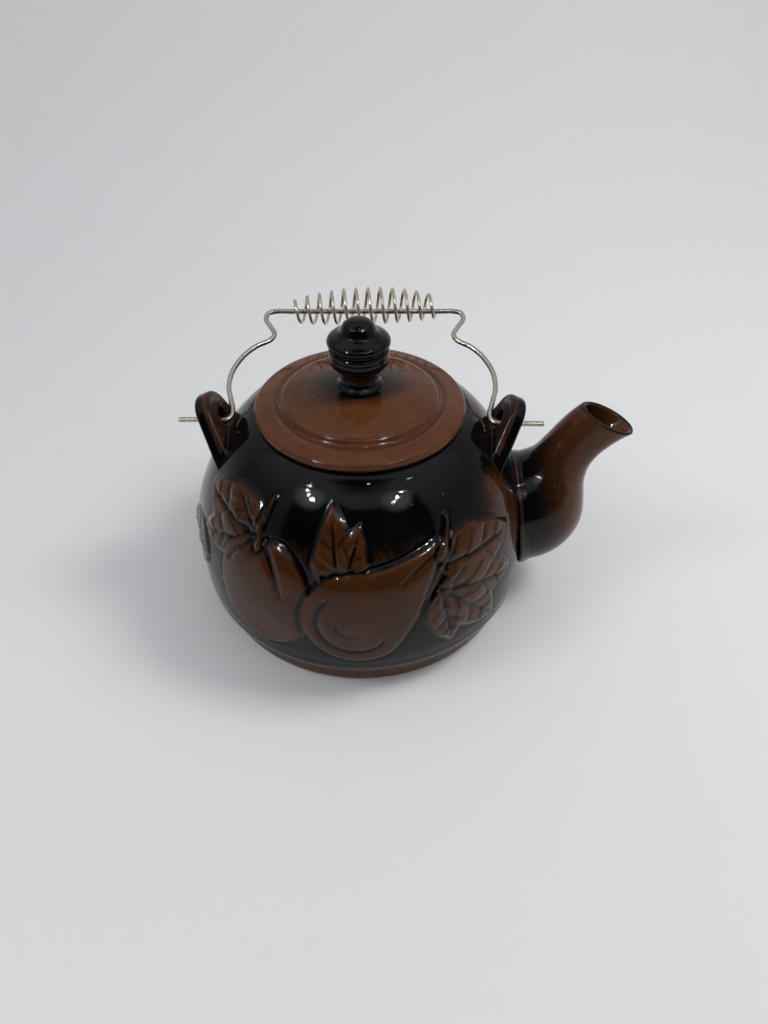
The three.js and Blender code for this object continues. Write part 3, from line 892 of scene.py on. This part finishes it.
# ---- strainer basket
def perforated(name, to_space, columns, rows, hole_share, material, is_open):
    """A sheet of square cells, with a round hole in each that is_open(u, v) names.
    to_space(u, v, depth) places a point."""
    ring = 12
    turn = (np.arange(ring) + 0.5) / ring * FULL_TURN
    square = np.stack([np.cos(turn), np.sin(turn)], axis=1)
    square /= np.abs(square).max(axis=1, keepdims=True)
    verts, faces = [], []

    def points_of(shape, u, v, depth):
        first = len(verts)
        verts.extend(to_space(u + 0.5 + 0.5 * a, v + 0.5 + 0.5 * b, depth) for a, b in shape)
        return list(range(first, first + ring))

    circle = np.stack([np.cos(turn), np.sin(turn)], axis=1) * hole_share
    for u in range(columns):
        for v in range(rows):
            edge_out = points_of(square, u, v, 0.0)
            edge_in = points_of(square, u, v, BASKET_SHEET)
            if is_open(u, v):
                hole_out = points_of(circle, u, v, 0.0)
                hole_in = points_of(circle, u, v, BASKET_SHEET)
                for i in range(ring):
                    j = (i + 1) % ring
                    faces.append((edge_out[i], edge_out[j], hole_out[j], hole_out[i]))
                    faces.append((edge_in[j], edge_in[i], hole_in[i], hole_in[j]))
                    faces.append((hole_out[i], hole_out[j], hole_in[j], hole_in[i]))
            else:
                faces.append(tuple(edge_out))
                faces.append(tuple(reversed(edge_in)))
    mesh = bpy.data.meshes.new(name)
    mesh.from_pydata([tuple(p) for p in verts], [], faces)
    tidy(mesh, 2e-6)
    return link(mesh, material, smooth=False)


def make_basket(material):
    """The strainer's wall, floor, flange and two finger tabs."""
    columns, rows = 64, 18
    low, high = BASKET_BOTTOM, FLANGE_LOW
    pitch = (high - low) / rows

    def on_wall(u, v, depth):
        angle = u / columns * FULL_TURN
        radius = (BASKET_RADIUS - depth) * MM
        return radius * math.sin(angle), -radius * math.cos(angle), (low + v * pitch) * MM

    wall = perforated("infuser_wall_perforated", on_wall, columns, rows, 0.5, material,
                      lambda u, v: 0 < v < rows - 2)

    # the floor: cells squeezed from a square onto a disc
    cells = 20

    def on_floor(u, v, depth):
        a, b = 2 * u / cells - 1, 2 * v / cells - 1
        x = a * math.sqrt(max(0.0, 1 - b * b / 2))
        y = b * math.sqrt(max(0.0, 1 - a * a / 2))
        return (x * BASKET_RADIUS * MM, y * BASKET_RADIUS * MM, (BASKET_BOTTOM - depth) * MM)

    def open_floor(u, v):
        a, b = (2 * u + 1) / cells - 1, (2 * v + 1) / cells - 1
        return max(abs(a), abs(b)) < 0.88

    floor = perforated("infuser_floor_perforated", on_floor, cells, cells, 0.45, material,
                       open_floor)

    inner = BASKET_RADIUS - BASKET_SHEET
    lip = rounded([(inner, FLANGE_LOW), (FLANGE_RADIUS - 0.9, FLANGE_LOW),
                   (FLANGE_RADIUS, FLANGE_LOW + 0.1), (FLANGE_RADIUS, FLANGE_HIGH - 0.1),
                   (FLANGE_RADIUS - 0.9, FLANGE_HIGH), (inner + 0.5, FLANGE_HIGH),
                   (inner, FLANGE_HIGH - 0.4), (inner, FLANGE_LOW)], 0.3, 4)
    points = turned_points(respaced(lip, 0.35)[:-1], 128)[0]
    flange = link(grid_mesh("infuser_flange_rolled", points * MM, along=True), material)

    tabs = []
    for name, turn in (("infuser_tab_right_bent", 0.0), ("infuser_tab_left_bent", math.pi)):
        outline = [(-5.5, 0.0), (5.5, 0.0)]
        for corner, start in ((2.5, 0.0), (-2.5, math.pi / 2)):
            outline += [(corner + 3 * math.cos(a), 2.6 + 3 * math.sin(a))
                        for a in np.linspace(start, start + math.pi / 2, 8)]
        work = bmesh.new()
        rings = []
        for radius, inset in ((inner, 0.22), (inner + 0.22, 0), (inner + 0.58, 0),
                              (inner + 0.8, 0.22)):
            ring = []
            for across, up in outline:
                away = math.hypot(across, up - 2.6) or 1.0
                ring.append(work.verts.new(Vector((
                    radius, across * (1 - inset / away),
                    FLANGE_HIGH + max(0.0, 2.6 + (up - 2.6) * (1 - inset / away)))) * MM))
            rings.append(ring)
        skin_rings(work, rings)
        bmesh.ops.rotate(work, cent=(0, 0, 0), matrix=Matrix.Rotation(turn, 3, "Z"),
                         verts=work.verts)
        tabs.append(link(made(work, name), material, smooth=False))
    return wall, floor, flange, *tabs


# ---- stage, lights and camera
PAINTED_WALL_GLOW = 0.100                # painted light: the sweep glows towards its back wall, standing in for light through the tent's back wall
SWEEP_REACH, SWEEP_BEND, SWEEP_TOP = 2.6, 0.34, 1.5
BEND_START = 0.40                # where the floor starts to curve up
SWEEP_DROP = 0.00002             # keeps the paper just clear of the foot


def make_stage():
    """A pale sweep: a floor that curves up into a wall behind the pot."""
    n = Nodes("pale_paper")
    cloud = n.noise(2.2, 3)
    fine = n.noise(45, 4)
    colour = n.mix(cloud, (0.80, 0.80, 0.80), (0.765, 0.768, 0.775))
    colour = n.mix(n.times(n.remap(fine, 0.55, 0.75), 0.08), colour, (0.68, 0.675, 0.67))
    depth = n.add("ShaderNodeSeparateXYZ", {0: n.place()}).outputs["Y"]
    # painted light: the paper glows, from nothing on the floor in front of the pot to the most on
    # the back wall
    glow = n.remap(depth, 0.05, 0.72, 0.0, PAINTED_WALL_GLOW)
    paper = n.finish(Base_Color=colour, Roughness=n.remap(cloud, 0.3, 0.7, 0.38, 0.5), IOR=1.4,
                     Normal=n.bump(fine, 0.0004, 0.15), Emission_Color=(0.97, 0.97, 1.0, 1.0),
                     Emission_Strength=glow)
    line = [(-SWEEP_REACH, 0.0), (-0.6, 0.0), (BEND_START, 0.0)]
    line += [(BEND_START + SWEEP_BEND * math.sin(a), SWEEP_BEND - SWEEP_BEND * math.cos(a))
             for a in np.linspace(0, math.pi / 2, 24)[1:]]
    line += [(BEND_START + SWEEP_BEND, SWEEP_TOP)]
    points = np.array([[(x, y, z - SWEEP_DROP) for x in (-SWEEP_REACH, SWEEP_REACH)]
                       for y, z in line])
    link(grid_mesh("sweep", points, around=False), paper)


SHADE_ELEVATION = math.radians(77)
GLOW_AIMS = ((-47, 44), (37, 47))
TENT_STRENGTH = 0.595
CLOTH_ROOF, CLOTH_LEFT, CLOTH_RIGHT = (0.98, 1.0, 1.05), (0.36, 0.365, 0.375), (0.46, 0.46, 0.46)
TENT_OPENING, TENT_GLOW, TENT_SEEN = (0.022, 0.019, 0.017), (2.8, 2.9, 3.1), (0.98, 0.985, 1.0)


def towards(azimuth, elevation):
    """The direction of a lamp from the pot. Azimuth is from the front, + towards the spout."""
    a, e = math.radians(azimuth), math.radians(elevation)
    return Vector((math.sin(a) * math.cos(e), -math.cos(a) * math.cos(e), math.sin(e)))


def make_world():
    """A light tent: bright roof, sides and back, and a dark open front."""
    world = bpy.data.worlds.new("tent")
    bpy.context.scene.world = world
    n = Nodes("tent", world)
    direction = n.add("ShaderNodeTexCoord").outputs["Generated"]
    split = n.add("ShaderNodeSeparateXYZ", {0: direction})
    x, y, z = split.outputs
    flat = n.math("SQRT", n.plus(n.times(x, x), n.times(y, y)))
    front = n.math("DIVIDE", n.times(y, -1.0), n.math("MAXIMUM", flat, 0.001))
    opening = n.times(n.remap(front, 0.52, 0.60), n.remap(z, 0.72, 0.66))
    opening = n.times(opening, n.remap(z, -0.06, 0.0))
    # the camera hangs over the front edge of the roof and shades it there
    over = n.plus(n.times(y, -math.cos(SHADE_ELEVATION)), n.times(z, math.sin(SHADE_ELEVATION)))
    opening = n.math("MAXIMUM", opening, n.remap(over, 0.93, 0.99))
    roof = n.remap(z, 0.30, 0.85)
    sides = n.mix(n.remap(x, -0.9, 0.9), CLOTH_LEFT, CLOTH_RIGHT)
    colour = n.mix(roof, sides, CLOTH_ROOF)
    colour = n.mix(opening, colour, TENT_OPENING)
    # a soft glow round each group of small lamps, as through cloth
    for aim in GLOW_AIMS:
        ax, ay, az = towards(*aim)
        near = n.plus(n.plus(n.times(x, ax), n.times(y, ay)), n.times(z, az))
        colour = n.mix(n.remap(near, 0.975, 0.999), colour, TENT_GLOW)
    # seen directly, the tent is plain pale cloth all round
    seen = n.add("ShaderNodeLightPath").outputs["Is Camera Ray"]
    colour = n.mix(seen, colour, TENT_SEEN)
    background = n.add("ShaderNodeBackground", {"Color": colour, "Strength": TENT_STRENGTH})
    out = n.add("ShaderNodeOutputWorld")
    n.tree.links.new(background.outputs[0], out.inputs["Surface"])


LAMP_AIM = Vector((0, 0, 0.06))
COOL, WARM, CLEAR = (0.98, 0.99, 1.0), (1.0, 0.99, 0.98), (0.97, 0.98, 1.0)
# the small lamps that leave the highlights: (azimuth, elevation, width in m, power in W)
GLINTS = ((-52, 47, 0.012, 0.50), (-47, 43.5, 0.008, 0.24), (-42, 41.5, 0.014, 0.55),
          (-55, 52, 0.008, 0.10), (36, 47, 0.012, 0.50), (31, 44.5, 0.008, 0.20),
          (43, 51, 0.020, 0.22), (62, 58, 0.018, 0.12), (14, 69, 0.010, 0.12))
GLINT_DISTANCE, GLINT_HEIGHT = 0.75, 0.011


def make_light(name, azimuth, elevation, distance, size, power, colour, glossy=False):
    """An oblong lamp aimed at the pot. A glossy one is seen only as a highlight, the others only
    as light."""
    back = towards(azimuth, elevation)
    data = bpy.data.lights.new(name, "AREA")
    data.shape, data.size, data.size_y = "RECTANGLE", *size
    data.energy, data.color = power, colour
    lamp = bpy.data.objects.new(name, data)
    bpy.context.scene.collection.objects.link(lamp)
    lamp.visible_glossy, lamp.visible_diffuse = glossy, not glossy
    lamp.location = LAMP_AIM + back * distance
    lamp.rotation_mode = "QUATERNION"
    lamp.rotation_quaternion = (-back).to_track_quat("-Z", "Y")


CAMERA_AT = (0.0159, -0.28097, 0.2926)
CAMERA_LOOK = (-0.0145, 0.7417, -0.6707)
SENSOR_WIDTH, LENS = 36.0, 27.07


def make_camera():
    """The photograph's point of view, about 42 degrees above the pot."""
    data = bpy.data.cameras.new("camera")
    data.sensor_width, data.lens = SENSOR_WIDTH, LENS
    data.clip_start, data.clip_end = 0.01, 20.0
    camera = bpy.data.objects.new("camera", data)
    bpy.context.scene.collection.objects.link(camera)
    camera.location = CAMERA_AT
    camera.rotation_mode = "QUATERNION"
    camera.rotation_quaternion = Vector(CAMERA_LOOK).to_track_quat("-Z", "Y")
    bpy.context.scene.camera = camera


# ---- assembly
def place(piece, body, node):
    """Says which body a piece rides on, which CAD node it replaces."""
    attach(piece, body)
    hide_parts(node)


make_camera()
make_world()
make_stage()
make_light("lamp_right", 94, 54, 0.86, (0.28, 0.28), 3.3, WARM)
make_light("lamp_left", -66, 48, 0.86, (0.26, 0.26), 1.3, COOL)
make_light("lamp_front", -8, 46, 0.80, (0.20, 0.20), 0.30, COOL)
for k, (azimuth, elevation, width, power) in enumerate(GLINTS):
    make_light(f"glint_{k}", azimuth, elevation, GLINT_DISTANCE, (width, GLINT_HEIGHT), power,
               CLEAR, glossy=True)
bpy.context.scene.view_settings.view_transform = "Standard"

pot_glaze = glaze("pot_glaze")
lid_glaze = glaze("lid_glaze", mid=(0.110, 0.037, 0.0135), light=(0.17, 0.066, 0.027),
                  mottle=0.12, blend=0.42)
body = make_body(pot_glaze)
drill_strainer(body)
place(body, "pot", "pot_body")
spout_glaze = glaze("spout_glaze", mid=(0.092, 0.032, 0.0115), light=(0.15, 0.060, 0.024),
                    mottle=0.20, blend=0.42)
place(make_spout(spout_glaze), "pot", "spout")
lug_glaze = glaze("lug_glaze")
place(make_lug(1, lug_glaze), "pot", "lug_right")
place(make_lug(-1, lug_glaze), "pot", "lug_left")
place(make_lid(lid_glaze), "lid", "lid")
place(make_knob(glaze("knob_glaze")), "lid", "lid_knob")
wire = drawn_wire("wire_steel", (0.60, 0.555, 0.47), (0.44, 0.38, 0.29))
spring = drawn_wire("spring_steel", (0.68, 0.62, 0.51), (0.50, 0.42, 0.31))
place(make_bail(wire), "bail", "bail_wire")
place(make_spring(spring), "grip", "grip_coil")
for piece, part in zip(make_basket(sheet_steel("sheet_steel")),
                       ("wall", "floor", "flange", "tab_right", "tab_left")):
    place(piece, "infuser", f"infuser_{part}")
